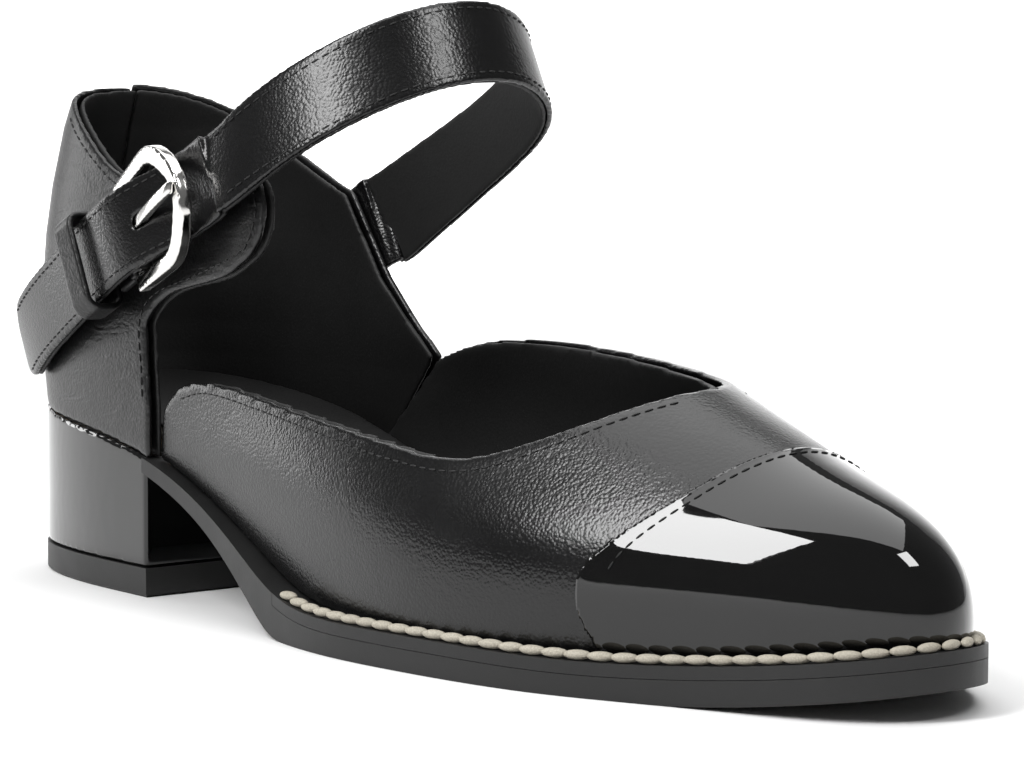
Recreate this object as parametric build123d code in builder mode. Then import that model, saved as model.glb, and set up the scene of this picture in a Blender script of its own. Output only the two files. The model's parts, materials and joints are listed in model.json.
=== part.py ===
"""A right shoe: block heel, d'Orsay vamp with a patent toe cap, and a buckled instep strap.

Millimetres. X runs from the back of the heel to the toe, +Y is the inner side of the foot,
-Y is the outer side with the buckle, and Z is up from the ground.
"""
from build123d import *
from math import cos, radians, sin
import os

# ---- driving dimensions ----
sole_length = 249.0            # heel back to toe tip
seat_height = 36.0             # underside of the insole at the back of the heel
breast_height = 28.0           # the same at the heel breast
breast_x = 62.0                # front face of the heel
lift_thickness = 5.8           # rubber top lift
toe_spring = 5.0               # rise of the sole at the toe tip
sole_thickness = 4.0           # outsole under the forepart
waist_thickness = 3.0          # outsole in the waist
welt_thickness = 2.3
welt_width = 8.0
welt_back = 118.0              # where the stitched welt starts
insole_thickness = 2.0
foam_thickness = 2.0
sock_thickness = 1.0
gap = 0.1                      # between glued or sewn layers
leather = 1.3                  # upper leather
stiffener = 0.7                # heel counter and toe puff
lining = 1.0
rim_height = 100.0             # top of the quarters at the back
throat_x = 191.0               # front of the vamp opening
throat_height = 49.0
seam_x = 213.0                 # toe cap seam on the centre line
seam_side_x = 188.5            # toe cap seam at the sides
stitch_pitch = 4.33
stitch_radius = 0.85
strap_width = 16.5
strap_root_width = 19.5
strap_leather = 1.2
strap_lining_thickness = 1.0
strap_slope = 25.5             # rise of the strap from the heel, degrees
strap_line = 37.0              # distance of the closed strap above the slope through the origin
buckle_bar_u = 88.0            # bar, measured along the strap slope
buckle_reach = 25.4            # bar to the outside of the rim
buckle_wire = 3.0              # width of the frame's metal
buckle_thickness = 2.4
buckle_tilt = 9.0              # rest angle of the frame from the strap, degrees
bar_radius = 1.0
bar_lift = 2.3                 # bar above the wing under the buckle
wing_face = -30.9              # outer face of the wing under the buckle
prong_width = 2.4
prong_thickness = 1.6
running = 0.3                  # clearance between moving pieces
heel_wrap = 1.0                # patent leather round the heel
shank_width = 12.0
shank_thickness = 1.2

# ---- derived frame of the strap ----
slope = Vector(cos(radians(strap_slope)), 0, sin(radians(strap_slope)))
rise = Vector(-sin(radians(strap_slope)), 0, cos(radians(strap_slope)))
outward = Vector(0, -1, 0)


def strap_point(u, y, v):
    """A point at distance u along the strap slope, v above it and y across."""
    return slope * u + rise * v + Vector(0, y, 0)


side_plane = Plane(origin=(0, 0, 0), x_dir=slope, z_dir=outward)
strap_plane = Plane(origin=tuple(rise * strap_line), x_dir=slope, z_dir=rise)
wide = 70.0                    # more than half the width of the shoe
finished = {}


def keep(name, part):
    """Label a finished piece and hold it for writing."""
    part.label = name
    finished[name] = part


# ---- side curves of the bottom ----
feather = sole_thickness + welt_thickness


def bottom_points(lift):
    """The underside of the insole from heel to toe, raised by lift."""
    heights = [
        (-8.0, seat_height + 1.0),
        (30.0, seat_height - 3.4),
        (breast_x, breast_height),
        (85.0, breast_height - 7.0),
        (104.0, 13.4),
        (122.0, feather + 1.4),
        (142.0, feather),
        (172.0, feather - 0.1),
        (205.0, feather),
        (230.0, feather + 0.45 * toe_spring),
        (sole_length + 6.0, feather + 1.25 * toe_spring),
    ]
    return [(x, z + lift) for x, z in heights]


def ground_points():
    """The underside of the outsole from the heel breast to the toe."""
    return [
        (breast_x - 6.0, breast_height - waist_thickness + 1.6),
        (85.0, breast_height - waist_thickness - 8.0),
        (100.0, 9.2),
        (112.0, 2.6),
        (124.0, 0.0),
    ]


def above_bottom(lift):
    """Everything above the bottom curve raised by lift."""
    with BuildPart() as zone:
        with BuildSketch(Plane.XZ):
            with BuildLine():
                curve = Spline(*bottom_points(lift))
                Polyline(curve @ 1, (sole_length + 6.0, 140.0), (-8.0, 140.0), curve @ 0)
            make_face()
        extrude(amount=wide, both=True)
    return zone.part


def layer(low, high):
    """The layer between two heights above the bottom curve."""
    with BuildPart() as zone:
        with BuildSketch(Plane.XZ):
            with BuildLine():
                under = Spline(*bottom_points(low))
                over = Spline(*bottom_points(high))
                Line(under @ 0, over @ 0)
                Line(under @ 1, over @ 1)
            make_face()
        extrude(amount=wide, both=True)
    return zone.part


# ---- plan of the sole ----
def sole_outline():
    """Plan of the sole edge: outer side from heel to toe, then back along the inner side."""
    end = sole_length
    return [
        (1.5, 0), (9.0, -20.5), (30.0, -28.8), (breast_x, -31.0), (98.0, -35.0), (134.0, -42.0),
        (160.0, -41.4), (190.0, -36.0), (214.0, -26.2), (234.0, -18.4), (end - 4.5, -10.8), (end, 1.0),
        (end - 3.5, 11.0), (236.0, 20.0), (220.0, 29.0), (200.0, 35.5), (178.0, 38.2), (150.0, 36.0),
        (120.0, 30.5), (92.0, 28.0), (breast_x, 28.6), (30.0, 28.0), (9.0, 20.0),
    ]


def moved_inwards(points, distance):
    """A closed outline moved to its inside by distance."""
    moved = []
    count = len(points)
    for index, (x, y) in enumerate(points):
        before = points[index - 1]
        after = points[(index + 1) % count]
        run = Vector(after[0] - before[0], after[1] - before[1]).normalized()
        moved.append((x - run.Y * distance, y + run.X * distance))
    return moved


def sole_plan(inset):
    """A sketch of the sole outline, moved inwards."""
    with BuildSketch() as plan:
        with BuildLine():
            Spline(*moved_inwards(sole_outline(), inset), periodic=True)
        make_face()
    return plan.sketch


def plan_solid(inset, from_x, to_x):
    """The sole plan as a tall solid between two lengths."""
    with BuildPart() as block:
        add(sole_plan(inset))
        extrude(amount=60.0)
        with BuildSketch():
            with Locations(((from_x + to_x) / 2, 0)):
                Rectangle(to_x - from_x, 2 * wide)
        extrude(amount=60.0, mode=Mode.INTERSECT)
    return block.part


# ---- the lasted shape of the upper ----
class Level:
    """One horizontal slice of the upper's outside."""

    def __init__(self, z, back, toe, heel, waist, ball, shoulder, slant):
        self.z = z
        self.back = back
        self.toe = toe
        self.heel = heel          # half widths 14 mm and 30 mm from the back
        self.waist = waist        # outer and inner half widths
        self.ball = ball
        self.shoulder = shoulder
        self.slant = slant        # how much further a layer moves at the sloping toe


levels = [
    Level(5.0, 4.0, 243.6, (22.5, 26.5), (31.0, 25.3), (38.0, 33.8), (21.3, 26.5), 1.0),
    Level(18.0, 4.0, 244.0, (22.5, 27.0), (32.0, 26.3), (38.5, 34.4), (22.0, 26.8), 1.05),
    Level(28.0, 3.0, 237.5, (23.0, 27.5), (32.5, 28.0), (37.5, 34.0), (21.5, 24.5), 1.2),
    Level(36.0, 1.5, 223.0, (23.5, 28.0), (31.5, 28.0), (35.5, 32.5), (21.0, 22.5), 1.6),
    Level(43.0, 0.8, 206.0, (23.8, 28.3), (30.5, 28.0), (33.5, 30.5), (21.5, 21.0), 1.8),
    Level(50.0, 0.5, 188.8, (24.0, 28.5), (30.0, 27.5), (31.8, 29.0), (21.5, 20.5), 1.8),
    Level(60.0, 0.8, 172.0, (24.0, 28.5), (29.5, 27.0), (30.5, 28.0), (22.0, 21.0), 1.5),
    Level(80.0, 4.0, 150.0, (23.5, 27.5), (28.5, 26.0), (29.2, 27.0), (21.5, 20.5), 1.2),
    Level(rim_height + 4.0, 12.5, 135.0, (21.5, 24.5), (25.0, 23.0), (26.0, 24.0), (19.0, 18.0), 1.0),
]

# the heel end is cut from more slices, so that straight walls between them follow its curve
heel_levels = levels[1:7] + [
    Level(70.0, 2.0, 160.5, (23.9, 28.1), (29.1, 26.6), (29.9, 27.6), (21.8, 20.8), 1.3),
    levels[7],
    Level(92.0, 7.6, 142.0, (22.8, 26.3), (27.0, 24.8), (27.8, 25.8), (20.5, 19.4), 1.1),
    levels[8],
]


def level_outline(level, grow):
    """Plan points of one slice, moved outwards by grow."""
    back = level.back - grow
    toe = level.toe + grow * level.slant
    waist_x = level.back + 0.40 * (level.toe - level.back)
    ball_x = level.back + 0.65 * (level.toe - level.back)
    shoulder_x = level.back + 0.88 * (level.toe - level.back)
    side = grow * (1.0 + 0.5 * (level.slant - 1.0))
    nose = grow * level.slant
    return [
        (toe, 1.5),
        (shoulder_x, level.shoulder[1] + nose),
        (ball_x, level.ball[1] + side),
        (waist_x, level.waist[1] + grow),
        (level.back + 30.0, level.heel[1] + grow),
        (level.back + 14.0, level.heel[0] + grow),
        (back, 0),
        (level.back + 14.0, -level.heel[0] - grow),
        (level.back + 30.0, -level.heel[1] - grow),
        (waist_x, -level.waist[0] - grow),
        (ball_x, -level.ball[0] - side),
        (shoulder_x, -level.shoulder[0] - nose),
    ]


def lasted_body(grow):
    """The upper's outside shape as one solid, with its walls moved outwards by grow."""
    with BuildPart() as body:
        for level in levels:
            with BuildSketch(Plane.XY.offset(level.z)):
                with BuildLine():
                    Spline(*level_outline(level, grow), periodic=True)
                make_face()
        loft()
    return body.part


floor_lift = 0.05              # between the upper and the welt
outer_face = 0.0
stiffener_face = -leather - gap
lining_face = stiffener_face - stiffener - 2.5 * gap
inside_face = lining_face - lining - 24 * gap


# ---- zones of the upper, drawn from the side ----
def above_bottom_side(lift):
    """Side view of everything above the bottom curve."""
    with BuildSketch() as side:
        with BuildLine():
            curve = Spline(*bottom_points(lift))
            Polyline(curve @ 1, (sole_length + 6.0, 140.0), (-8.0, 140.0), curve @ 0)
        make_face()
    return side.sketch


def front_of_vamp():
    """Points that close a vamp zone round the toe, below the dome."""
    return [(sole_length + 10.0, throat_height + 8.0), (sole_length + 10.0, -5.0)]


def vamp_zone(drop):
    """The side profile of the vamp, with its topline lowered by drop."""
    split = Plane.XZ.offset(-3.0)
    with BuildPart() as zone:
        with BuildSketch(split):
            with BuildLine():
                top = Spline(
                    (66.0, 37.0 - drop), (72.0, 42.0 - drop), (84.0, 44.2 - drop), (104.0, 42.8 - drop),
                    (126.0, 40.3 - drop), (148.0, 37.6 - drop), (164.0, 36.8 - drop), (176.0, 40.5 - drop),
                    (throat_x, throat_height - drop),
                )
                Polyline(top @ 1, *front_of_vamp(), (64.0, -5.0), (64.0, 26.0), top @ 0)
            make_face()
            add(above_bottom_side(floor_lift), mode=Mode.INTERSECT)
        extrude(amount=wide)
        with BuildSketch(split):
            with BuildLine():
                top = Spline(
                    (84.5, 46.2 - drop), (93.0, 49.2 - drop), (108.0, 51.3 - drop), (140.0, 50.8 - drop),
                    (158.0, 49.9 - drop), (throat_x, throat_height - drop),
                )
                Polyline(top @ 1, *front_of_vamp(), (68.0, -5.0), (68.0, 26.0), top @ 0)
            make_face()
            add(above_bottom_side(floor_lift), mode=Mode.INTERSECT)
        extrude(amount=wide, dir=(0, 1, 0))
    return zone.part


def ahead_of_seam(shift):
    """Everything in front of the toe cap seam, moved forwards by shift."""
    with BuildPart() as zone:
        with BuildSketch():
            with BuildLine():
                seam = ThreePointArc(
                    (seam_side_x + shift, -34.0), (seam_x + shift, 5.0), (seam_side_x + shift, 44.0)
                )
                Polyline(seam @ 1, (seam_side_x + shift, wide), (sole_length + 10, wide),
                         (sole_length + 10, -wide), (seam_side_x + shift, -wide), seam @ 0)
            make_face()
        extrude(amount=90.0)
    return zone.part


def outer_quarter_zone(drop):
    """The side profile of the outer quarter, with the wing that reaches under the buckle."""
    with BuildPart() as zone:
        with BuildSketch(Plane.XZ.offset(gap / 2)):
            with BuildLine():
                rim = Spline(
                    (-8.0, rim_height + 1 - drop), (14.0, rim_height - drop), (24.0, 97.4 - drop),
                    (40.0, 87.6 - drop), (53.0, 82.4 - drop),
                )
                wing_top = Line(rim @ 1, (91.0, 86.0 - drop))
                wing_tip = ThreePointArc(wing_top @ 1, (101.0 - drop, 77.0), (94.5, 67.0))
                under = Spline(wing_tip @ 1, (80.0, 62.4), (66.5, 58.5), (61.5, 54.0))
                Polyline(under @ 1, (63.6, 37.0), (63.6, -5.0), (-8.0, -5.0), rim @ 0)
            make_face()
            add(above_bottom_side(floor_lift), mode=Mode.INTERSECT)
        extrude(amount=wide)
    return zone.part


def inner_quarter_zone(drop):
    """The side profile of the inner quarter, up to the root of the strap."""
    with BuildPart() as zone:
        with BuildSketch(Plane.XZ.offset(-gap / 2)):
            with BuildLine():
                rim = Spline(
                    (-8.0, rim_height + 1 - drop), (14.0, rim_height - drop), (24.0, 93.5 - drop),
                    (40.0, 85.0 - drop), (56.0, 78.8 - drop),
                )
                root = Line(rim @ 1, (67.6 - drop, 62.0))
                front = Spline(root @ 1, (74.0, 55.4), (83.8, 46.4))
                Polyline(front @ 1, (67.6, 26.0), (67.6, -5.0), (-8.0, -5.0), rim @ 0)
            make_face()
            add(above_bottom_side(floor_lift), mode=Mode.INTERSECT)
        extrude(amount=wide, dir=(0, 1, 0))
    return zone.part


def wall(points_of, outside, thickness, slices, straight):
    """A wall lofted through thin bands, one band for each slice of the upper."""
    with BuildPart() as shell:
        for level in slices:
            with BuildSketch(Plane.XY.offset(level.z)):
                with BuildLine():
                    face = Spline(*points_of(level, outside))
                    back = Spline(*points_of(level, outside - thickness))
                    Line(face @ 0, back @ 0)
                    Line(face @ 1, back @ 1)
                make_face()
        loft(ruled=straight)
    return shell.part


def round_toe(level, grow):
    """Outline points from the inner side of the heel round the toe to the outer side."""
    points = level_outline(level, grow)
    return points[4:0:-1] + points[0:1] + points[:7:-1]


def round_heel(level, grow):
    """Outline points round the heel, from the inner to the outer shoulder."""
    return level_outline(level, grow)[1:12]


def toe_piece(outside, thickness, zone):
    """A piece of the upper that wraps the toe."""
    with BuildPart() as piece:
        add(wall(round_toe, outside, thickness, levels, False))
        add(zone, mode=Mode.INTERSECT)
    return piece.part


def heel_piece(outside, thickness, zone):
    """A piece of the upper that lies round the heel or along one side of it."""
    with BuildPart() as piece:
        add(wall(round_heel, outside, thickness, heel_levels, True))
        add(zone, mode=Mode.INTERSECT)
    return piece.part


# ---- upper ----
with BuildPart() as vamp:
    add(toe_piece(outer_face, leather, vamp_zone(0)))
    add(ahead_of_seam(0), mode=Mode.SUBTRACT)
keep("vamp", vamp.part)

with BuildPart() as toe_cap:
    add(toe_piece(outer_face, leather, vamp_zone(0)))
    add(ahead_of_seam(gap), mode=Mode.INTERSECT)
keep("toe_cap", toe_cap.part)

with BuildPart() as toe_puff:
    add(toe_piece(stiffener_face, stiffener, vamp_zone(0)))
    add(ahead_of_seam(4.0), mode=Mode.INTERSECT)
keep("toe_puff", toe_puff.part)

with BuildPart() as vamp_lining:
    add(toe_piece(lining_face, lining, vamp_zone(0.4)))
keep("vamp_lining", vamp_lining.part)

with BuildPart() as outer_quarter:
    add(heel_piece(outer_face, leather, outer_quarter_zone(0)))
keep("outer_quarter", outer_quarter.part)

with BuildPart() as inner_quarter:
    add(heel_piece(outer_face, leather, inner_quarter_zone(0)))
keep("inner_quarter", inner_quarter.part)

with BuildPart() as outer_quarter_lining:
    add(heel_piece(lining_face, lining, outer_quarter_zone(0.4)))
keep("outer_quarter_lining", outer_quarter_lining.part)

with BuildPart() as inner_quarter_lining:
    add(heel_piece(lining_face, lining, inner_quarter_zone(0.4)))
keep("inner_quarter_lining", inner_quarter_lining.part)

def counter_zone():
    """The side profile of the heel counter."""
    with BuildPart() as zone:
        with BuildSketch(Plane.XZ):
            with BuildLine():
                top = Spline((-8.0, 76.0), (14.0, 74.0), (36.0, 62.0), (56.0, 40.0))
                Polyline(top @ 1, (56.0, -5.0), (-8.0, -5.0), top @ 0)
            make_face()
            add(above_bottom_side(floor_lift), mode=Mode.INTERSECT)
        extrude(amount=wide, both=True)
    return zone.part


with BuildPart() as heel_counter:
    add(heel_piece(stiffener_face, stiffener, counter_zone()))
keep("heel_counter", heel_counter.part)


def anchor_zone():
    """The fixed end of the strap, seen along the foot's width."""
    with BuildPart() as zone:
        with BuildSketch(side_plane):
            with Locations((75.0, strap_line + 2.0)):
                Rectangle(25.6, strap_root_width)
        extrude(amount=-wide)
    return zone.part


with BuildPart() as strap_anchor:
    add(heel_piece(outer_face + gap + leather, leather, anchor_zone()))
keep("strap_anchor", strap_anchor.part)

# ---- inside the shoe ----
def inner_layer(low, high):
    """A layer that fills the inside of the upper between two heights over the bottom curve."""
    with BuildPart() as piece:
        add(lasted_body(inside_face))
        add(layer(low, high), mode=Mode.INTERSECT)
    return piece.part


foam_low = insole_thickness + gap
sock_low = foam_low + foam_thickness + gap
screw_x = 28.0
nail_places = [(12.0, 0.0), (24.0, -17.0), (24.0, 17.0), (48.0, -15.0), (48.0, 15.0)]
rivet_places = [(52.0, 0.0), (130.0, 0.0)]

with BuildPart() as insole_board:
    add(inner_layer(0.0, insole_thickness))
    with Locations((screw_x, 0, 0)):
        Cylinder(2.1, 80.0, mode=Mode.SUBTRACT)
    with Locations(*[(x, y, 0) for x, y in nail_places]):
        Cylinder(0.9, 80.0, mode=Mode.SUBTRACT)
    with Locations(*[(x, y, 0) for x, y in rivet_places]):
        Cylinder(1.6, 80.0, mode=Mode.SUBTRACT)
keep("insole_board", insole_board.part)

with BuildPart() as sock_foam:
    add(inner_layer(foam_low, foam_low + foam_thickness))
    with Locations((screw_x, 0, 0)):
        Cylinder(4.6, 90.0, mode=Mode.SUBTRACT)
keep("sock_foam", sock_foam.part)

with BuildPart() as sock_lining:
    add(inner_layer(sock_low, sock_low + sock_thickness))
keep("sock_lining", sock_lining.part)

# ---- shank, rivets and filler ----
def shank_block(clearance):
    """The shank's strip, or the channel round it."""
    with BuildPart() as block:
        add(layer(-shank_thickness - gap - clearance, -gap + clearance))
        with BuildSketch():
            with Locations((90.0, 0)):
                Rectangle(100.0 + 2 * clearance, shank_width + 2 * clearance)
        extrude(amount=60.0, mode=Mode.INTERSECT)
    return block.part


with BuildPart() as steel_shank:
    add(shank_block(0.0))
    with Locations(*[(x, y, 0) for x, y in rivet_places]):
        Cylinder(1.6, 80.0, mode=Mode.SUBTRACT)
    with Locations((screw_x + 14.0, 0, 0)):
        Cylinder(0.9, 80.0, mode=Mode.SUBTRACT)
keep("steel_shank", steel_shank.part)

with BuildPart() as shank_rivets:
    for x, y in rivet_places:
        with BuildPart(mode=Mode.PRIVATE) as rivet:
            with Locations((x, y, 30.0)):
                Cylinder(1.5, 60.0)
            add(layer(-shank_thickness - gap, insole_thickness), mode=Mode.INTERSECT)
        add(rivet.part)
keep("shank_rivets", shank_rivets.part)

with BuildPart() as bottom_filler:
    add(plan_solid(welt_width + 0.2, welt_back, sole_length))
    add(layer(-welt_thickness + gap, -gap), mode=Mode.INTERSECT)
    add(shank_block(0.2), mode=Mode.SUBTRACT)
keep("bottom_filler", bottom_filler.part)

# ---- sole ----
with BuildPart() as welt:
    with BuildSketch():
        add(sole_plan(0.0))
        add(sole_plan(welt_width), mode=Mode.SUBTRACT)
        with Locations((welt_back + 100.0, 0)):
            Rectangle(200.0, 2 * wide, mode=Mode.INTERSECT)
    extrude(amount=40.0)
    add(layer(gap - welt_thickness, 0.0), mode=Mode.INTERSECT)
keep("welt", welt.part)

with BuildPart() as outsole:
    add(plan_solid(0.0, breast_x + running, sole_length + 5.0))
    with BuildSketch(Plane.XZ):
        with BuildLine():
            toe_end = (sole_length + 6.0, 1.25 * toe_spring)
            waist = Spline(*ground_points(), tangents=[(1, -0.25), (1, 0)])
            flat = Line(waist @ 1, (206.0, 0))
            tip = Spline(flat @ 1, (230.0, 0.40 * toe_spring), toe_end, tangents=[(1, 0), (1, 0.22)])
            top = Spline(*bottom_points(-gap))
            Line(tip @ 1, top @ 1)
            Line(top @ 0, waist @ 0)
        make_face()
    extrude(amount=wide, both=True, mode=Mode.INTERSECT)
    with BuildPart(mode=Mode.PRIVATE) as welt_seat:
        add(layer(-welt_thickness, 20.0))
        with Locations((welt_back - gap + 100.0, 0, 0)):
            Box(200.0, 2 * wide, 100.0, mode=Mode.INTERSECT)
    add(welt_seat.part, mode=Mode.SUBTRACT)
    add(shank_block(0.2), mode=Mode.SUBTRACT)
keep("outsole", outsole.part)


def bottom_height(x):
    """Height of the bottom curve at a length, found by halving."""
    curve = Spline(*bottom_points(0.0), mode=Mode.PRIVATE)
    low, high = 0.0, 1.0
    for _ in range(24):
        middle = (low + high) / 2
        if (curve @ middle).X < x:
            low = middle
        else:
            high = middle
    return (curve @ low).Y


stitch_inset = 1.5
stitch_length = 3.4

with BuildPart() as welt_stitching:
    seam_line = sole_plan(stitch_inset).faces()[0].outer_wire()
    stitch_count = round(seam_line.length / stitch_pitch)
    for step in range(stitch_count):
        spot = seam_line.position_at((step + 0.5) / stitch_count)
        along = seam_line.tangent_at((step + 0.5) / stitch_count)
        if spot.X > welt_back + 3.0:
            centre = (spot.X, spot.Y, bottom_height(spot.X) + stitch_radius + 2.5 * gap)
            with BuildSketch(Plane(origin=centre, z_dir=along)):
                Circle(stitch_radius)
            extrude(amount=stitch_length / 2, both=True)
keep("welt_stitching", welt_stitching.part)

# ---- heel ----
heel_screw_radius = 2.0
heel_screw_head = 3.4
dowel_places = [(18.0, 0.0), (46.0, 0.0)]
dowel_radius = 2.0
dowel_length = 12.0


def heel_column(inset):
    """The heel's plan as a column up to the bottom curve."""
    with BuildPart() as column:
        with BuildSketch(Plane.XY.offset(lift_thickness + gap)):
            add(sole_plan(1.2 + inset))
            with Locations(((breast_x - inset) / 2 - 20.0, 0)):
                Rectangle(breast_x - inset + 40.0, 2 * wide, mode=Mode.INTERSECT)
        extrude(amount=50.0)
        add(above_bottom(-gap), mode=Mode.SUBTRACT)
    return column.part


with BuildPart() as heel_cover:
    add(heel_column(0.0))
    add(heel_column(heel_wrap), mode=Mode.SUBTRACT)
    add(shank_block(0.2), mode=Mode.SUBTRACT)
keep("heel_cover", heel_cover.part)

with BuildPart() as heel_block:
    add(heel_column(heel_wrap + gap))
    add(shank_block(0.2), mode=Mode.SUBTRACT)
    with Locations((screw_x, 0, 30.0)):
        Cylinder(heel_screw_radius + 0.05, 36.0, mode=Mode.SUBTRACT)
    with Locations(*[(x, y, 30.0) for x, y in nail_places]):
        Cylinder(0.85, 34.0, mode=Mode.SUBTRACT)
    with Locations(*[(x, y, lift_thickness) for x, y in dowel_places]):
        Cylinder(dowel_radius + 0.05, 2 * dowel_length + 0.4, mode=Mode.SUBTRACT)
keep("heel_block", heel_block.part)

with BuildPart() as heel_top_lift:
    with BuildSketch():
        add(sole_plan(1.0))
        with Locations((breast_x / 2 - 19.9, 0)):
            Rectangle(breast_x + 40.2, 2 * wide, mode=Mode.INTERSECT)
    extrude(amount=lift_thickness)
    chamfer(faces().sort_by(Axis.Z)[0].outer_wire().edges(), length=0.5)
    with Locations(*[(x, y, lift_thickness) for x, y in dowel_places]):
        Cylinder(dowel_radius + 0.05, 6.2, mode=Mode.SUBTRACT)
keep("heel_top_lift", heel_top_lift.part)

with BuildPart() as top_lift_dowels:
    for x, y in dowel_places:
        with Locations((x, y, lift_thickness - 3.0)):
            Cylinder(dowel_radius, dowel_length + 3.0, align=(Align.CENTER, Align.CENTER, Align.MIN))
keep("top_lift_dowels", top_lift_dowels.part)

with BuildPart() as heel_screw:
    head_z = bottom_height(screw_x) + insole_thickness + 0.55
    with Locations((screw_x, 0, head_z)):
        Cylinder(heel_screw_head, 1.0, align=(Align.CENTER, Align.CENTER, Align.MIN))
        Cylinder(heel_screw_radius, 22.0, align=(Align.CENTER, Align.CENTER, Align.MAX))
keep("heel_screw", heel_screw.part)

with BuildPart() as heel_nails:
    for x, y in nail_places:
        with Locations((x, y, bottom_height(x) + insole_thickness - 0.2)):
            Cylinder(0.8, 14.0, align=(Align.CENTER, Align.CENTER, Align.MAX))
keep("heel_nails", heel_nails.part)

# ---- strap: the arch over the instep ----
arch_stations = [
    # along the slope, across, above the strap line
    (88.3, 28.7, 1.8),
    (102.0, 29.6, 2.4),
    (118.0, 30.4, 3.4),
    (132.0, 30.5, 4.5),
    (144.0, 27.5, 5.8),
    (153.5, 19.0, 7.2),
    (158.5, 6.0, 7.8),
    (156.0, -8.0, 7.0),
    (147.0, -20.0, 5.0),
    (134.0, -28.0, 2.6),
    (117.4, -32.4, 0.0),
]


def arch_plane(curve, at, lean):
    """A cross-section plane of the arch: its x runs across the strap's width."""
    along = curve.tangent_at(at)
    across = rise + Vector(0, lean, 0)
    across = (across - along * across.dot(along)).normalized()
    return Plane(origin=curve.position_at(at), x_dir=across, z_dir=along)


def strap_arch(centre, thickness, trim):
    """One layer of the arch; centre is its distance inwards from the strap's middle."""
    points = [strap_point(u, y, strap_line + v) for u, y, v in arch_stations]
    count = 14
    with BuildPart() as arch:
        with BuildLine(mode=Mode.PRIVATE) as path:
            Spline(*points, tangents=[slope + Vector(0, 0.08, 0), slope * -1 + Vector(0, -0.08, 0)])
        curve = path.edges()[0]
        for step in range(count + 1):
            at = step / count
            root = max(0.0, 1.0 - 4.0 * at)
            width = strap_width + (strap_root_width - strap_width) * root - trim
            lean = -0.16 * (1.0 - 2.0 * at)
            with BuildSketch(arch_plane(curve, at, lean)):
                with Locations((0, centre)):
                    Rectangle(width, thickness)
        loft()
    return arch.part


strap_full = strap_leather + gap + strap_lining_thickness
outer_middle = -(strap_full - strap_leather) / 2
lining_middle = (strap_full - strap_lining_thickness) / 2

with BuildPart() as strap_outer:
    add(strap_arch(outer_middle, strap_leather, 0.0))
keep("strap_outer", strap_outer.part)

with BuildPart() as strap_lining:
    add(strap_arch(lining_middle, strap_lining_thickness, 0.4))
keep("strap_lining", strap_lining.part)

# ---- buckle ----
bar_centre = strap_point(buckle_bar_u, wing_face - bar_lift, strap_line)
lean_out = radians(buckle_tilt)
frame_along = slope * cos(lean_out) + outward * sin(lean_out)
frame_out = outward * cos(lean_out) - slope * sin(lean_out)
frame_plane = Plane(origin=bar_centre, x_dir=frame_along, z_dir=frame_out)
bar_plane = Plane(origin=bar_centre, x_dir=frame_along, z_dir=rise)
frame_half = strap_width / 2 + 0.9 + buckle_wire

with BuildPart() as buckle_frame:
    with BuildSketch(frame_plane):
        with BuildLine():
            upper_arm = Line((-1.6, frame_half - 1.2), (12.5, frame_half))
            upper_turn = Spline(upper_arm @ 1, (buckle_reach - 2.4, 6.8), (buckle_reach, 0.0),
                                tangents=[upper_arm % 1, (0, -1)])
            mirror(upper_arm, about=Plane.XZ)
            mirror(upper_turn, about=Plane.XZ)
            Line((-1.6, frame_half - 1.2), (-1.6, 1.2 - frame_half))
        make_face()
        with BuildLine():
            inner_arm = Line((-1.8, frame_half - 1.2 - buckle_wire), (12.0, frame_half - buckle_wire))
            inner_turn = Spline(inner_arm @ 1, (buckle_reach - 2.4 - buckle_wire, 4.6),
                                (buckle_reach - buckle_wire - 0.4, 0.0), tangents=[inner_arm % 1, (0, -1)])
            mirror(inner_arm, about=Plane.XZ)
            mirror(inner_turn, about=Plane.XZ)
            Line((-1.8, frame_half - 1.2 - buckle_wire), (-1.8, 1.2 + buckle_wire - frame_half))
        make_face(mode=Mode.SUBTRACT)
    extrude(amount=buckle_thickness / 2, both=True)
    with BuildSketch(bar_plane):
        Circle(bar_radius + 0.03)
    extrude(amount=frame_half - 2.4, both=True, mode=Mode.SUBTRACT)
keep("buckle_frame", buckle_frame.part)

with BuildPart() as buckle_bar:
    with BuildSketch(bar_plane):
        Circle(bar_radius)
    extrude(amount=frame_half - 2.5, both=True)
keep("buckle_bar", buckle_bar.part)

prong_plane = Plane(origin=bar_centre, x_dir=frame_along, z_dir=rise * -1)
prong_rest = buckle_thickness / 2 + 0.25


def prong_profile(clearance):
    """Side view of the prong: a ring on the bar and a tongue that rests on the rim."""
    half = prong_thickness / 2 + clearance
    with BuildSketch(prong_plane) as profile:
        with BuildLine():
            under = Spline((1.2, 0.4 - half), (12.0, prong_rest - clearance - 0.1),
                           (buckle_reach - 1.0 + clearance, prong_rest - clearance))
            over = Spline((0.2, 0.9 + half), (12.0, prong_rest + prong_thickness + clearance),
                          (buckle_reach - 1.0 + clearance, prong_rest + prong_thickness - 0.4 + clearance))
            Line(under @ 0, over @ 0)
            Line(under @ 1, over @ 1)
        make_face()
        Circle(bar_radius + 1.0 + clearance)
    return profile.sketch


with BuildPart() as buckle_prong:
    add(prong_profile(0.0))
    extrude(amount=prong_width / 2, both=True)
    with BuildSketch(prong_plane):
        Circle(bar_radius + 0.05)
    extrude(amount=prong_width, both=True, mode=Mode.SUBTRACT)
keep("buckle_prong", buckle_prong.part)

# ---- chape: the leather that holds the bar ----
chape_leather = 0.9
chape_half = strap_width / 2 - 0.6
fold_inside = bar_radius + 0.2
chape_tail = 10.0

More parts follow.
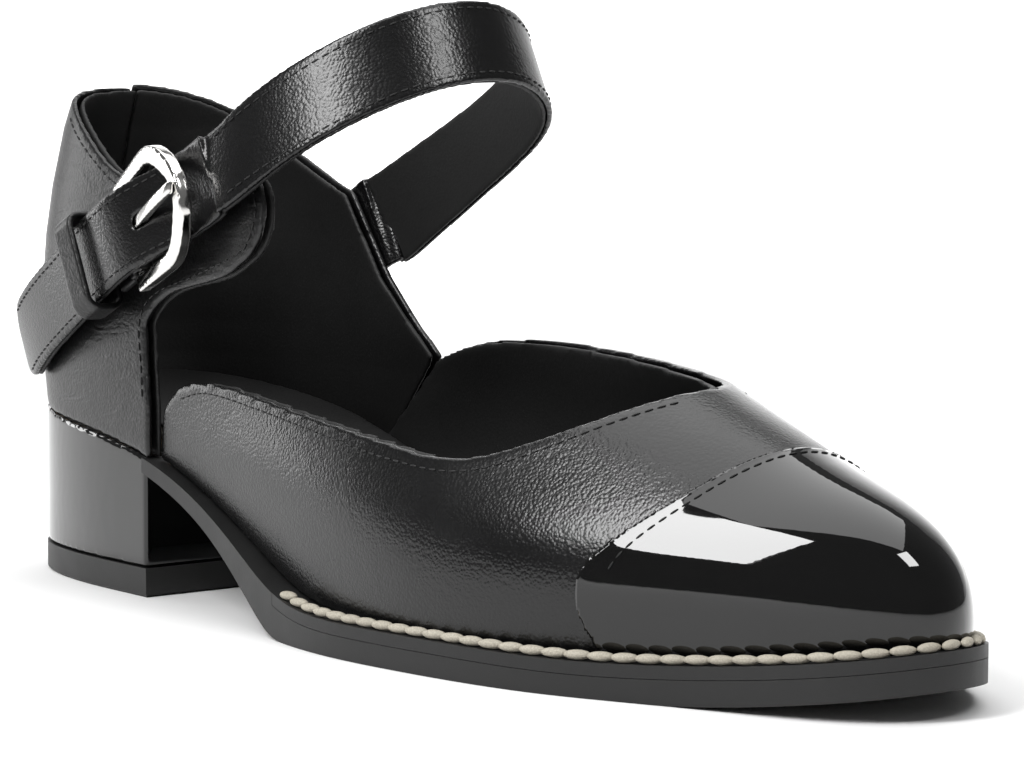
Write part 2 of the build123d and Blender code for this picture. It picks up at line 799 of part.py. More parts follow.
with BuildPart() as buckle_chape:
    with BuildSketch(Plane(origin=bar_centre, x_dir=slope, z_dir=rise * -1)):
        Circle(fold_inside + chape_leather)
        with Locations((-chape_tail / 2, gap - bar_lift + chape_leather)):
            Rectangle(chape_tail, 2 * chape_leather)
        with Locations((-2.0, -0.6)):
            Rectangle(4.0, 2.6)
        Circle(fold_inside, mode=Mode.SUBTRACT)
    extrude(amount=chape_half, both=True)
    with BuildSketch(Plane(origin=bar_centre, x_dir=slope, z_dir=rise * -1)):
        with Locations((2.0, 0)):
            Rectangle(10.6, 12.0)
    extrude(amount=prong_width / 2 + 0.8, both=True, mode=Mode.SUBTRACT)
keep("buckle_chape", buckle_chape.part)

# ---- strap tail ----
tail_line = [
    # along the slope, across: the middle of the strap's tail
    (117.0, wing_face - 1.6),
    (109.0, wing_face - 1.6),
    (100.0, wing_face - 3.6),
    (92.0, wing_face - 5.9),
    (84.0, wing_face - 6.1),
    (75.0, wing_face - 4.9),
    (64.0, wing_face - 2.9),
    (54.0, wing_face - 1.4),
    (44.0, wing_face + 0.6),
    (36.0, wing_face + 3.0),
    (29.5, wing_face + 6.0),
]


def side_of(points, distance):
    """The same line, moved sideways by distance in its own plane."""
    moved = []
    for index, (u, y) in enumerate(points):
        before = points[max(index - 1, 0)]
        after = points[min(index + 1, len(points) - 1)]
        run = Vector(after[0] - before[0], after[1] - before[1]).normalized()
        moved.append((u - run.Y * distance, y + run.X * distance))
    return moved


def tail_layer(middle, thickness, width):
    """One layer of the tail, cut round at its tip and slotted for the prong."""
    with BuildPart() as band:
        with BuildSketch(strap_plane):
            with BuildLine():
                face = Spline(*side_of(tail_line, middle - thickness / 2))
                back = Spline(*side_of(tail_line, middle + thickness / 2))
                Line(face @ 0, back @ 0)
                Line(face @ 1, back @ 1)
            make_face()
        extrude(amount=width / 2, both=True)
        with BuildSketch(side_plane):
            with Locations((88.0, strap_line)):
                SlotOverall(120.0, width)
        extrude(amount=wide, mode=Mode.INTERSECT)
        add(prong_profile(running))
        extrude(amount=prong_width / 2 + running, both=True, mode=Mode.SUBTRACT)
    return band.part


with BuildPart() as strap_tail:
    add(tail_layer(-outer_middle, strap_leather, strap_width))
keep("strap_tail", strap_tail.part)

with BuildPart() as strap_tail_lining:
    add(tail_layer(-lining_middle, strap_lining_thickness, strap_width - 0.4))
keep("strap_tail_lining", strap_tail_lining.part)

# ---- keeper loop ----
keeper_u = 74.0
keeper_width = 6.0
keeper_wall = 1.3

with BuildPart() as keeper_loop:
    keeper_middle = wing_face - 4.7
    with BuildSketch(Plane(origin=strap_point(keeper_u, keeper_middle, strap_line), x_dir=rise,
                           z_dir=slope)):
        RectangleRounded(strap_width + 4.4, 8.6, radius=3.0)
        offset(amount=-keeper_wall, mode=Mode.SUBTRACT)
    extrude(amount=keeper_width / 2, both=True)
keep("keeper_loop", keeper_loop.part)

# ---- write everything, centred over its own footprint ----
boxes = [part.bounding_box() for part in finished.values()]
middle_x = (min(box.min.X for box in boxes) + max(box.max.X for box in boxes)) / 2
middle_y = (min(box.min.Y for box in boxes) + max(box.max.Y for box in boxes)) / 2
centre = Location((-middle_x, -middle_y, 0))
os.makedirs("parts", exist_ok=True)
for name, part in finished.items():
    placed = part.moved(centre)
    placed.label = name
    export_step(placed, "parts/" + name + ".step")

print("shift to the row frame", centre.position)
root_plane = strap_point(88.0, 30.2, strap_line)
print("strap root", root_plane + centre.position, "axis", rise)
print("bar", bar_centre + centre.position)
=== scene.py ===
import json
from math import cos, pi, radians, sin, sqrt

import bmesh
import bpy
from mathutils import Matrix, Vector
from mathutils.bvhtree import BVHTree


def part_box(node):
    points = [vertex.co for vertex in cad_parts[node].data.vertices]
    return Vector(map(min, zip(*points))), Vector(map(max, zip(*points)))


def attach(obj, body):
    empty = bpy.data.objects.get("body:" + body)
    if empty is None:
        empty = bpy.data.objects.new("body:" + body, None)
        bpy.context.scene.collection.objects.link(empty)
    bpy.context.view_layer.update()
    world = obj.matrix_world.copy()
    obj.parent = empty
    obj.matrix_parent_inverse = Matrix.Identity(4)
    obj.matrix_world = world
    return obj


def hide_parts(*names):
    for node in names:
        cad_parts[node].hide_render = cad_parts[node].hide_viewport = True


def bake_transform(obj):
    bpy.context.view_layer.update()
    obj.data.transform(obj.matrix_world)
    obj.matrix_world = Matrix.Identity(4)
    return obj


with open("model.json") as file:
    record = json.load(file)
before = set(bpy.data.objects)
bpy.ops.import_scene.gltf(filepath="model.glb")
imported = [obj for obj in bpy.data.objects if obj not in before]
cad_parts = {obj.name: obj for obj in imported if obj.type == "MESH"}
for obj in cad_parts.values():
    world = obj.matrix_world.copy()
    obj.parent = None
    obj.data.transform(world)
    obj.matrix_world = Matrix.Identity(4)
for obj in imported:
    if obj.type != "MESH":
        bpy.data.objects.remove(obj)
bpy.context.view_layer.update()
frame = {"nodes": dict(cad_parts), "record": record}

MM = 0.001
CAD_SHIFT = Vector((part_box("outsole")[1].x / MM - 249.0, 2.0584, 0.0))


# ---- shader groups ----
def group(name, inputs, outputs):
    """A new shader node group with named sockets."""
    tree = bpy.data.node_groups.new(name, "ShaderNodeTree")
    for label, value in inputs:
        tree.interface.new_socket(label, in_out="INPUT", socket_type="NodeSocketFloat").default_value = value
    for label, kind in outputs:
        tree.interface.new_socket(label, in_out="OUTPUT", socket_type=kind)
    return tree, tree.nodes.new("NodeGroupInput"), tree.nodes.new("NodeGroupOutput")


def maths(tree, operation, first, second):
    """A maths node fed by two sockets or numbers."""
    node = tree.nodes.new("ShaderNodeMath")
    node.operation = operation
    for socket, value in zip(node.inputs, (first, second)):
        if isinstance(value, (int, float)):
            socket.default_value = value
        else:
            tree.links.new(value, socket)
    return node.outputs[0]


def make_hide_group():
    """Leather: rounded pebbles with creases between them, fine pores and long wrinkles. Its colour mask is
    painted shade, darker in the creases between pebbles and lighter on their tops, varied in random patches.
    """
    tree, given, result = group(
        "hide_grain",
        [("Pebbles", 900.0), ("Pebble depth", 1.0), ("Wrinkle depth", 0.3), ("Dull", 0.4),
         ("Shine spread", 0.15)],
        [("Height", "NodeSocketFloat"), ("Roughness", "NodeSocketFloat"), ("Wear and crease shade", "NodeSocketFloat")])
    place = tree.nodes.new("ShaderNodeTexCoord").outputs["Object"]
    drift = tree.nodes.new("ShaderNodeTexNoise")
    drift.inputs["Scale"].default_value = 350.0
    tree.links.new(place, drift.inputs["Vector"])
    warp = tree.nodes.new("ShaderNodeMixRGB")
    warp.blend_type = "ADD"
    warp.inputs[0].default_value = 0.0009
    tree.links.new(place, warp.inputs[1])
    tree.links.new(drift.outputs["Color"], warp.inputs[2])
    cells = tree.nodes.new("ShaderNodeTexVoronoi")
    cells.feature = "SMOOTH_F1"
    cells.inputs["Smoothness"].default_value = 0.35
    tree.links.new(warp.outputs[0], cells.inputs["Vector"])
    tree.links.new(given.outputs["Pebbles"], cells.inputs["Scale"])
    pebble = maths(tree, "SUBTRACT", 1.0, cells.outputs["Distance"])
    pores = tree.nodes.new("ShaderNodeTexNoise")
    pores.inputs["Scale"].default_value = 3200.0
    pores.inputs["Detail"].default_value = 3.0
    tree.links.new(place, pores.inputs["Vector"])
    long_way = tree.nodes.new("ShaderNodeMapping")
    long_way.inputs["Scale"].default_value = (60.0, 60.0, 210.0)
    long_way.inputs["Rotation"].default_value = (0.2, 0.5, 0.0)
    tree.links.new(place, long_way.inputs["Vector"])
    wrinkle = tree.nodes.new("ShaderNodeTexNoise")
    wrinkle.inputs["Scale"].default_value = 1.6
    wrinkle.inputs["Detail"].default_value = 5.0
    wrinkle.inputs["Distortion"].default_value = 1.2
    tree.links.new(long_way.outputs[0], wrinkle.inputs["Vector"])
    grain = maths(tree, "MULTIPLY", pebble, given.outputs["Pebble depth"])
    fold = maths(tree, "MULTIPLY", wrinkle.outputs["Fac"], given.outputs["Wrinkle depth"])
    pitted = maths(tree, "MULTIPLY", pores.outputs["Fac"], 0.12)
    height = maths(tree, "ADD", maths(tree, "ADD", grain, fold), pitted)
    patches = tree.nodes.new("ShaderNodeTexNoise")
    patches.inputs["Scale"].default_value = 38.0
    patches.inputs["Detail"].default_value = 4.0
    tree.links.new(place, patches.inputs["Vector"])
    uneven = maths(tree, "SUBTRACT", patches.outputs["Fac"], 0.5)
    spread = maths(tree, "MULTIPLY", uneven, given.outputs["Shine spread"])
    tree.links.new(height, result.inputs["Height"])
    tree.links.new(maths(tree, "ADD", given.outputs["Dull"], spread), result.inputs["Roughness"])
    # colour mask: painted shade darkening the creases between pebbles, varied in random patches
    tree.links.new(maths(tree, "MULTIPLY", pebble, patches.outputs["Fac"]), result.inputs["Wear and crease shade"])
    return tree


def make_film_group():
    """A moulded or lacquered surface: slow waves, specks and faint scuffs."""
    tree, given, result = group(
        "surface_film",
        [("Wave size", 40.0), ("Wave depth", 0.2), ("Speck depth", 0.1), ("Dull", 0.4), ("Scuffs", 0.1)],
        [("Height", "NodeSocketFloat"), ("Roughness", "NodeSocketFloat"), ("Wear and crease shade", "NodeSocketFloat")])
    place = tree.nodes.new("ShaderNodeTexCoord").outputs["Object"]
    waves = tree.nodes.new("ShaderNodeTexNoise")
    tree.links.new(place, waves.inputs["Vector"])
    tree.links.new(given.outputs["Wave size"], waves.inputs["Scale"])
    specks = tree.nodes.new("ShaderNodeTexNoise")
    specks.inputs["Scale"].default_value = 1800.0
    tree.links.new(place, specks.inputs["Vector"])
    scuffs = tree.nodes.new("ShaderNodeTexNoise")
    scuffs.inputs["Scale"].default_value = 160.0
    scuffs.inputs["Detail"].default_value = 6.0
    tree.links.new(place, scuffs.inputs["Vector"])
    height = maths(tree, "ADD", maths(tree, "MULTIPLY", waves.outputs["Fac"], given.outputs["Wave depth"]),
                   maths(tree, "MULTIPLY", specks.outputs["Fac"], given.outputs["Speck depth"]))
    rub = maths(tree, "MULTIPLY", scuffs.outputs["Fac"], given.outputs["Scuffs"])
    tree.links.new(height, result.inputs["Height"])
    tree.links.new(maths(tree, "ADD", given.outputs["Dull"], rub), result.inputs["Roughness"])
    tree.links.new(scuffs.outputs["Fac"], result.inputs["Wear and crease shade"])
    return tree


hide_grain = make_hide_group()
surface_film = make_film_group()


def finish(name, tree, settings, dark, light, bump, **shader):
    """A material: a surface group drives colour, roughness and bump of one shader."""
    material = bpy.data.materials.new(name)
    material.use_nodes = True
    nodes = material.node_tree.nodes
    links = material.node_tree.links
    surface = nodes["Principled BSDF"]
    skin = nodes.new("ShaderNodeGroup")
    skin.node_tree = tree
    for label, value in settings.items():
        skin.inputs[label].default_value = value
    ramp = nodes.new("ShaderNodeValToRGB")
    ramp.color_ramp.elements[0].color = (*dark, 1.0)
    ramp.color_ramp.elements[1].color = (*light, 1.0)
    # the group's colour mask sets the colour: scuff wear on films, painted crease shade between leather
    # pebbles
    links.new(skin.outputs["Wear and crease shade"], ramp.inputs["Fac"])
    links.new(ramp.outputs["Color"], surface.inputs["Base Color"])
    links.new(skin.outputs["Roughness"], surface.inputs["Roughness"])
    relief = nodes.new("ShaderNodeBump")
    relief.inputs["Distance"].default_value = bump
    relief.inputs["Strength"].default_value = 0.6
    links.new(skin.outputs["Height"], relief.inputs["Height"])
    links.new(relief.outputs["Normal"], surface.inputs["Normal"])
    for label, value in shader.items():
        surface.inputs[label.replace("_", " ").title().replace("Ior", "IOR")].default_value = value
    return material


black = (0.0025, 0.0025, 0.0027)
charcoal = (0.007, 0.007, 0.0073)
grained = finish("grained_leather", hide_grain,
                 {"Pebbles": 1700.0, "Pebble depth": 0.7, "Wrinkle depth": 0.6, "Dull": 0.25,
                  "Shine spread": 0.2},
                 black, charcoal, 0.00011)
smooth = finish("smooth_leather", hide_grain,
                {"Pebbles": 1500.0, "Pebble depth": 0.35, "Wrinkle depth": 1.3, "Dull": 0.34},
                black, charcoal, 0.00022)
patent = finish("patent_leather", surface_film, {"Wave size": 45.0, "Wave depth": 0.5, "Speck depth": 0.0,
                                                 "Dull": 0.035, "Scuffs": 0.02},
                (0.002, 0.002, 0.002), (0.004, 0.004, 0.004), 0.0003, coat_weight=1.0, coat_roughness=0.015,
                specular_ior_level=0.1)
lining = finish("lining_leather", hide_grain, {"Pebbles": 1700.0, "Pebble depth": 0.4, "Dull": 0.6},
                (0.004, 0.004, 0.004), (0.010, 0.010, 0.010), 0.00008)
sock = finish("sock_leather", hide_grain, {"Pebbles": 1500.0, "Pebble depth": 0.5, "Dull": 0.48},
              (0.008, 0.008, 0.008), (0.018, 0.018, 0.018), 0.0001)
rubber = finish("sole_rubber", surface_film,
                {"Wave depth": 0.3, "Speck depth": 0.5, "Dull": 0.42, "Scuffs": 0.18},
                (0.007, 0.007, 0.007), (0.014, 0.014, 0.014), 0.00006)
thread = finish("cream_thread", hide_grain, {"Pebbles": 3000.0, "Dull": 0.62, "Wrinkle depth": 1.0},
                (0.34, 0.31, 0.25), (0.68, 0.64, 0.54), 0.0001)
black_thread = finish("black_thread", hide_grain, {"Pebbles": 3000.0, "Dull": 0.5},
                      black, charcoal, 0.00005)
nickel = finish("polished_nickel", surface_film,
                {"Wave depth": 0.1, "Speck depth": 0.0, "Dull": 0.06, "Scuffs": 0.08},
                (0.74, 0.73, 0.71), (0.86, 0.85, 0.83), 0.00003, metallic=1.0)
board = finish("inner_board", surface_film, {"Dull": 0.7}, (0.30, 0.22, 0.14), (0.50, 0.38, 0.26), 0.0001)
foam = finish("foam", surface_film, {"Speck depth": 0.6, "Dull": 0.75},
              (0.32, 0.30, 0.26), (0.52, 0.50, 0.45), 0.0001)
steel = finish("steel", surface_film, {"Dull": 0.3}, (0.40, 0.40, 0.41), (0.58, 0.58, 0.59), 0.00002,
               metallic=1.0)

plain_finishes = {
    "outsole": rubber, "welt": rubber, "heel_top_lift": rubber, "bottom_filler": board, "insole_board": board,
    "toe_puff": board, "heel_counter": board, "heel_block": rubber, "steel_shank": steel,
    "shank_rivets": steel, "heel_screw": steel, "heel_nails": steel, "top_lift_dowels": steel,
    "buckle_bar": nickel,
}
for node, obj in frame["nodes"].items():
    obj.data.materials.clear()
    obj.data.materials.append(plain_finishes.get(node, lining))


# ---- pieces ----
def row_point(x, y, z):
    """A point of the part's own sketch, in mm, as a place in the scene."""
    return (Vector((x, y, z)) + CAD_SHIFT) * MM


def strap_point(along, y, across):
    """A point given along and across the slanted line of the strap."""
    slope = radians(25.5)
    return row_point(along * cos(slope) - across * sin(slope), y, along * sin(slope) + across * cos(slope))


def add_piece(name, mesh, material, body, slot, *nodes):
    """Links a finished mesh as a piece on a body, standing for its CAD nodes. With no body it is left
    unparented.
    """
    piece = bpy.data.objects.new(name, mesh)
    bpy.context.scene.collection.objects.link(piece)
    mesh.materials.clear()
    mesh.materials.append(material)
    mesh.polygons.foreach_set("use_smooth", [True] * len(mesh.polygons))
    if body:
        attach(piece, body)
    if nodes:
        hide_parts(*nodes)
    return piece


every_way = {"use_axis_x": True, "use_axis_y": True, "use_axis_z": True}


def root_patch(shape, low, high):
    """Fills the slit between the sewn end of the strap and its free part, from low to high across it."""
    ends = (strap_point(86.4, 27.5, low), strap_point(90.2, 29.0, low))
    along = ends[1] - ends[0]
    up = strap_point(0, 0, 1) - strap_point(0, 0, 0)
    place = Matrix((along.normalized(), up.cross(along).normalized(), up.normalized())).transposed().to_4x4()
    size = Matrix.Diagonal((along.length, 1.6 * MM, (high - low) * MM, 1.0))
    middle = (ends[0] + ends[1]) / 2 + up * (high - low) / 2
    bmesh.ops.create_cube(shape, size=1.0, matrix=Matrix.Translation(middle) @ place @ size)


def softened(nodes, voxel, rounds, growth):
    """The CAD shapes of some nodes as one even skin, edges rounded, grown outwards by a little."""
    node = nodes[0]
    shape = bmesh.new()
    for name in nodes:
        shape.from_mesh(frame["nodes"][name].data)
    if "strap_anchor" in nodes:
        root_patch(shape, 29.4, 48.4)
    bmesh.ops.remove_doubles(shape, verts=shape.verts, dist=1e-6)
    rough = bpy.data.meshes.new(node + "_rough")
    shape.to_mesh(rough)
    shape.free()
    block = bpy.data.objects.new(node + "_rough", rough)
    bpy.context.scene.collection.objects.link(block)
    remesh = block.modifiers.new("skin", "REMESH")
    remesh.mode = "VOXEL"
    remesh.voxel_size = voxel
    mesh = bpy.data.meshes.new_from_object(block.evaluated_get(bpy.context.evaluated_depsgraph_get()))
    bpy.data.objects.remove(block)
    skin = bmesh.new()
    skin.from_mesh(mesh)
    for _ in range(rounds):
        bmesh.ops.smooth_vert(skin, verts=skin.verts, factor=0.5, **every_way)
    skin.normal_update()
    for vert in skin.verts:
        vert.co += vert.normal * growth
    skin.to_mesh(mesh)
    skin.free()
    return mesh


soft_pieces = [
    # nodes in the skin, finish, body, voxel, rounds of smoothing, growth; sizes in mm
    (("vamp", "toe_cap"), grained, "root", 0.65, 5, 0.0),
    (("outer_quarter",), smooth, "root", 0.50, 5, 0.0),
    (("inner_quarter",), smooth, "root", 0.50, 5, 0.0),
    (("vamp_lining",), lining, "root", 0.65, 3, 0.0),
    (("outer_quarter_lining",), lining, "root", 0.50, 3, 0.0),
    (("inner_quarter_lining",), lining, "root", 0.50, 3, 0.0),
    (("strap_outer", "strap_anchor", "strap_tail"), grained, None, 0.42, 4, 0.0),
    (("strap_lining", "strap_tail_lining"), lining, None, 0.42, 3, 0.0),
    (("keeper_loop",), smooth, "root", 0.35, 5, 0.0),
    (("buckle_chape",), smooth, "root", 0.35, 3, 0.0),
    (("buckle_frame",), nickel, "buckle", 0.25, 8, 0.1),
    (("buckle_prong",), nickel, "prong", 0.22, 6, 0.05),
    (("heel_cover",), patent, "root", 0.45, 4, 0.0),
    (("sock_lining",), sock, "root", 0.60, 4, 0.0),
    (("sock_foam",), foam, "root", 0.70, 2, 0.0),
]
slots = {row["node"]: row["material_slot"] for row in frame["record"]["subparts"]}
skins = {}
for nodes, material, body, voxel, rounds, growth in soft_pieces:
    mesh = softened(nodes, voxel * MM, rounds, growth * MM)
    stood_for = nodes if body is None else nodes[:1]
    skins[nodes[0]] = add_piece(nodes[0] + "_skin", mesh, material, body, slots[nodes[0]], *stood_for)


# ---- toe cap: a glossy sheet over the front of the upper ----
def ahead_of_seam(place):
    """How far a place in the scene lies ahead of the cap's curved seam, in mm."""
    radius, centre_x, centre_y = 43.29, 169.71, 5.0
    point = place / MM - CAD_SHIFT
    return point.x - centre_x - sqrt(max(radius ** 2 - (point.y - centre_y) ** 2, 0.0))


def cap_over(upper, rise, bulge):
    """The upper's outer face ahead of the seam, lifted off it and filled out towards the toe."""
    shape = bmesh.new()
    shape.from_mesh(upper)
    shape.normal_update()
    inside = []
    for face in shape.faces:
        centre = face.calc_center_median()
        core = row_point(min((centre.x / MM - CAD_SHIFT.x), 222.0), 3.0, 14.0)
        outer = face.normal.dot(centre - core) > 0 and face.normal.z > -0.6
        if not outer or max(ahead_of_seam(vert.co) for vert in face.verts) <= 0:
            inside.append(face)
    bmesh.ops.delete(shape, geom=inside, context="FACES")
    for vert in shape.verts:
        if ahead_of_seam(vert.co) < 0:
            vert.co.x -= ahead_of_seam(vert.co) * MM
    middle = [vert for vert in shape.verts if not vert.is_boundary]
    for _ in range(14):
        bmesh.ops.smooth_vert(shape, verts=middle, factor=0.5, **every_way)
    shape.normal_update()
    for vert in shape.verts:
        share = min(max(ahead_of_seam(vert.co) / 30.0, 0.0), 1.0)
        vert.co += vert.normal * (rise + bulge * share * share * (3 - 2 * share)) * MM
    mesh = bpy.data.meshes.new("toe_cap_sheet")
    shape.to_mesh(mesh)
    shape.free()
    return mesh


cap_sheet = cap_over(skins["vamp"].data, 0.35, 1.6)
cap = add_piece("toe_cap_skin", cap_sheet, patent, "root", "patent_leather", "toe_cap")
wall = cap.modifiers.new("thickness", "SOLIDIFY")
wall.thickness = 0.9 * MM
wall.offset = -1.0
skins["toe_cap"] = cap


# ---- edge stitching ----
def curve_through(points, steps=12):
    """A smooth path through some points, of two or three numbers each."""
    points = [Vector(point) for point in points]
    ends = [2 * points[0] - points[1]] + points + [2 * points[-1] - points[-2]]
    path = []
    for before, start, end, after in zip(ends, ends[1:], ends[2:], ends[3:]):
        for step in range(steps):
            t = step / steps
            path.append(0.5 * (2 * start + (end - before) * t
                               + (2 * before - 5 * start + 4 * end - after) * t * t
                               + (3 * start - before - 3 * end + after) * t ** 3))
    return path + [points[-1]]


def beside(path, distance):
    """A flat path moved sideways, to its right when the distance is positive."""
    moved = []
    for index, point in enumerate(path):
        step = path[min(index + 1, len(path) - 1)] - path[max(index - 1, 0)]
        moved.append(point + Vector((step.y, -step.x)).normalized() * distance)
    return moved


def skin_tree(skin):
    """A skin made ready for finding points on it."""
    shape = bmesh.new()
    shape.from_mesh(skin.data)
    tree = BVHTree.FromBMesh(shape)
    shape.free()
    return tree


def seen_from_side(tree, path, side):
    """Where the points of a side view land on a skin, looking from one side of the shoe."""
    landed = []
    for point in path:
        hit = tree.ray_cast(row_point(point.x, side * 90, point.y), Vector((0, -side, 0)))
        if hit[0] is not None:
            landed.append(hit[0])
    return landed


def stitch_run(name, tree, path, body, pitch=2.3, length=1.7, thick=0.34):
    """A row of short black stitches along a path on a skin."""
    shape = bmesh.new()
    travelled, due = 0.0, pitch * MM
    for start, end in zip(path, path[1:]):
        step = (end - start).length
        if step > 6 * MM:
            continue
        while travelled + step >= due:
            place = start.lerp(end, (due - travelled) / step)
            found, normal, _, _ = tree.find_nearest(place)
            along = (end - start).normalized()
            across = normal.cross(along).normalized()
            turn = Matrix((along, across, normal)).transposed().to_4x4()
            size = Matrix.Diagonal((length / 2 * MM, thick / 2 * MM, thick / 2 * MM, 1.0))
            bmesh.ops.create_uvsphere(shape, u_segments=8, v_segments=5, radius=1.0,
                                      matrix=Matrix.Translation(found + normal * 0.08 * MM) @ turn @ size)
            due += pitch * MM
        travelled += step
    mesh = bpy.data.meshes.new(name)
    shape.to_mesh(mesh)
    shape.free()
    return add_piece(name, mesh, black_thread, body, "grained_leather")


vamp_tree = skin_tree(skins["vamp"])
cap_tree = skin_tree(skins["toe_cap"])
outer_topline = curve_through([(72, 42), (84, 44.2), (104, 42.8), (126, 40.3), (148, 37.6), (164, 36.8),
                               (176, 40.5), (191, 49)])
inner_topline = curve_through([(84.5, 46.2), (93, 49.2), (108, 51.3), (140, 50.8), (158, 49.9), (186, 49)])
for name, topline, side in (("outer", outer_topline, -1), ("inner", inner_topline, 1)):
    line = seen_from_side(vamp_tree, beside(topline, 2.2), side)
    stitch_run("topline_stitches_" + name, vamp_tree, line, "root")

cap_seam = []
for step in range(-80, 81):
    swing = radians(step)
    from_point = row_point(169.71 + 44.9 * cos(swing * 0.92), 5.0 + 44.9 * sin(swing * 0.92), 90)
    hit = cap_tree.ray_cast(from_point, Vector((0, 0, -1)))
    if hit[0] is not None:
        cap_seam.append(hit[0])
stitch_run("cap_seam_stitches", cap_tree, cap_seam, "root")

quarter_tree = skin_tree(skins["outer_quarter"])
quarter_edge = curve_through([(26, 96.4), (40, 87.6), (53, 82.4), (72, 84.4), (91, 86), (98.5, 83),
                              (101, 77), (99, 70.5), (94.5, 67), (80, 62.4), (66.5, 58.5), (61.8, 54),
                              (62.6, 46), (63.4, 39)])
line = seen_from_side(quarter_tree, beside(quarter_edge, 2.0), -1)
stitch_run("quarter_stitches", quarter_tree, line, "root")

strap_tree = skin_tree(skins["strap_outer"])
strap_stations = curve_through([(88.3, 28.7, 1.8), (102, 29.6, 2.4), (118, 30.4, 3.4), (132, 30.5, 4.5),
                                (144, 27.5, 5.8), (153.5, 19, 7.2), (158.5, 6, 7.8), (156, -8, 7),
                                (147, -20, 5), (134, -28, 2.6), (120, -32, 0.5)])
tail_stations = curve_through([(109, -32.5), (100, -34.5), (92, -36.8), (84, -37), (75, -35.8), (64, -33.8),
                               (54, -32.3), (44, -30.3), (36, -27.9), (32, -26.4)])
for edge, side in (("upper", 1), ("lower", -1)):
    rail = []
    for index, here in enumerate(strap_stations):
        step = strap_stations[min(index + 1, len(strap_stations) - 1)] - strap_stations[max(index - 1, 0)]
        away = Vector((step.y, -step.x)).normalized() * -3.0
        guess = strap_point(here.x + away.x, here.y + away.y, 37 + here.z + side * 6.6)
        rail.append(strap_tree.find_nearest(guess)[0])
    stitch_run("strap_stitches_" + edge, strap_tree, rail, "strap")
    rail = []
    for here in tail_stations:
        rail.append(strap_tree.find_nearest(strap_point(here.x, here.y - 3, 37 + side * 6.6))[0])
    stitch_run("tail_stitches_" + edge, strap_tree, rail, "strap")


# the strap and its lining, left unparented, get their transforms baked into the mesh; on the shoe the strap
# bends at its root, between the inner quarter and the free part that ends in the tail
for name in ("strap_outer", "strap_lining"):
    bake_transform(skins[name])


# ---- welt stitches: a fat bead of thread for each stitch ----
def islands(mesh):
    """The separate solids of a mesh, as lists of points."""
    shape = bmesh.new()
    shape.from_mesh(mesh)
    bmesh.ops.remove_doubles(shape, verts=shape.verts, dist=1e-6)
    waiting = set(shape.verts)
    found = []
    while waiting:
        reached = [waiting.pop()]
        solid = []
        while reached:
            vert = reached.pop()
            solid.append(vert.co.copy())
            for edge in vert.link_edges:
                other = edge.other_vert(vert)
                if other in waiting:
                    waiting.remove(other)
                    reached.append(other)
        found.append(solid)
    shape.free()
    return found


beads = bmesh.new()
for solid in islands(frame["nodes"]["welt_stitching"].data):
    middle = sum(solid, Vector()) / len(solid)
    far = max(solid, key=lambda point: (point - middle).length)
    partner = max(solid, key=lambda point: (point - far).length)
    along = far - partner
    for _ in range(6):
        ahead = [point for point in solid if (point - middle).dot(along) > 0]
        behind = [point for point in solid if (point - middle).dot(along) <= 0]
        along = sum(ahead, Vector()) / len(ahead) - sum(behind, Vector()) / len(behind)
    if along.x * middle.y > 0:
        along.negate()
    along.normalize()
    turn = along.to_track_quat("X", "Z").to_matrix().to_4x4() @ Matrix.Rotation(radians(13), 4, "Z")
    size = Matrix.Diagonal((2.45 * MM, 0.95 * MM, 0.85 * MM, 1.0))
    bmesh.ops.create_uvsphere(beads, u_segments=14, v_segments=8, radius=1.0,
                              matrix=Matrix.Translation(middle - Vector((0, 0, 0.2 * MM))) @ turn @ size)
bead_mesh = bpy.data.meshes.new("welt_beads")
beads.to_mesh(bead_mesh)
beads.free()
add_piece("welt_stitches", bead_mesh, thread, "root", "light_thread", "welt_stitching")

# ---- floor, light and camera ----
backdrop = bmesh.new()
bmesh.ops.create_grid(backdrop, x_segments=1, y_segments=1, size=3.0)
far_edge = [edge for edge in backdrop.edges if all(vert.co.y > 2.9 for vert in edge.verts)]
raised = bmesh.ops.extrude_edge_only(backdrop, edges=far_edge)["geom"]
raised = [part for part in raised if isinstance(part, bmesh.types.BMVert)]
bmesh.ops.translate(backdrop, verts=raised, vec=(0, 0, 3.0))
corner = [edge for edge in backdrop.edges if all(vert.co.y > 2.9 and vert.co.z < 0.1 for vert in edge.verts)]
bmesh.ops.bevel(backdrop, geom=corner, offset=1.2, segments=16, profile=0.5, affect="EDGES", material=-1)
bmesh.ops.rotate(backdrop, verts=backdrop.verts, cent=(0, 0, 0), matrix=Matrix.Rotation(radians(50), 3, "Z"))
floor_mesh = bpy.data.meshes.new("floor")
backdrop.to_mesh(floor_mesh)
backdrop.free()
floor_mesh.polygons.foreach_set("use_smooth", [True] * len(floor_mesh.polygons))
floor = bpy.data.objects.new("floor", floor_mesh)
bpy.context.scene.collection.objects.link(floor)
paper = bpy.data.materials.new("paper")
paper.use_nodes = True
paper.node_tree.nodes["Principled BSDF"].inputs["Base Color"].default_value = (0.9, 0.9, 0.9, 1.0)
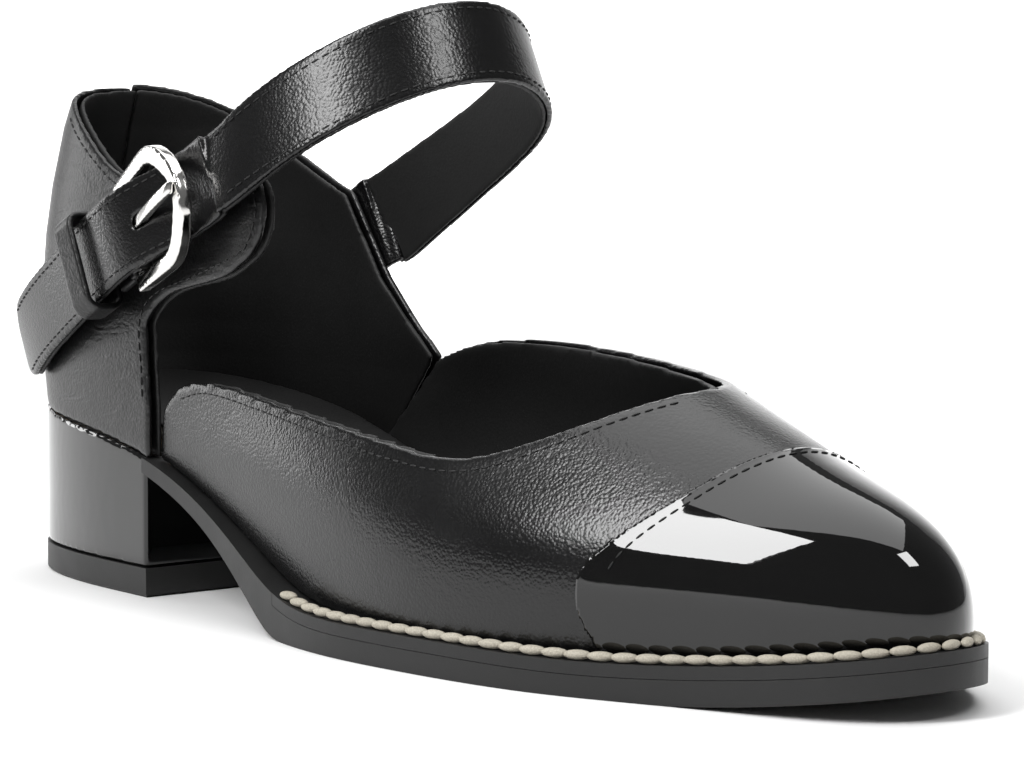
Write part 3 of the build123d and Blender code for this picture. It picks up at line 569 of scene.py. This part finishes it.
paper.node_tree.nodes["Principled BSDF"].inputs["Roughness"].default_value = 0.8
paper.node_tree.nodes["Principled BSDF"].inputs["Specular IOR Level"].default_value = 0.1
floor.data.materials.append(paper)

world = bpy.data.worlds.new("studio")
world.use_nodes = True
world.node_tree.nodes["Background"].inputs["Color"].default_value = (1.0, 1.0, 1.0, 1.0)
world.node_tree.nodes["Background"].inputs["Strength"].default_value = 0.14
bpy.context.scene.world = world


def softbox(name, place, target, width, height, power):
    """A rectangular studio light aimed at a point."""
    lamp = bpy.data.lights.new(name, "AREA")
    lamp.shape = "RECTANGLE"
    lamp.size = width
    lamp.size_y = height
    lamp.energy = power
    light = bpy.data.objects.new(name, lamp)
    light.location = place
    light.rotation_euler = (Vector(target) - Vector(place)).to_track_quat("-Z", "Y").to_euler()
    bpy.context.scene.collection.objects.link(light)


softbox("key", (0.0, -0.72, 0.73), (0.08, -0.02, 0.03), 0.26, 0.60, 8.0)
softbox("strap", (0.67, 0.08, 0.85), (0.0, 0.0, 0.10), 0.22, 0.26, 2.6)
softbox("edge", (-1.0, -0.35, 0.25), (-0.08, 0.0, 0.04), 0.20, 0.60, 1.8)
softbox("top", (-0.2, 0.2, 1.6), (0.0, 0.0, 0.0), 1.6, 1.6, 20.0)
softbox("sweep", (-0.8, 0.7, 1.3), (-2.2, 2.0, 0.6), 1.6, 1.2, 70.0)

camera = bpy.data.objects.new("camera", bpy.data.cameras.new("camera"))
bpy.context.scene.collection.objects.link(camera)
camera_turn, camera_rise, camera_roll = radians(50.09), radians(4.62), radians(0.26)
camera.matrix_world = (Matrix.Translation((0.4689, -0.3763, 0.0978)) @ Matrix.Rotation(camera_turn, 4, "Z")
                       @ Matrix.Rotation(pi / 2 - camera_rise, 4, "X") @ Matrix.Rotation(camera_roll, 4, "Z"))
camera.data.lens = 113.8
camera.data.shift_x = -0.0097
camera.data.shift_y = -0.0209
camera.data.clip_start = 0.01
bpy.context.scene.camera = camera
bpy.context.scene.view_settings.view_transform = "Standard"
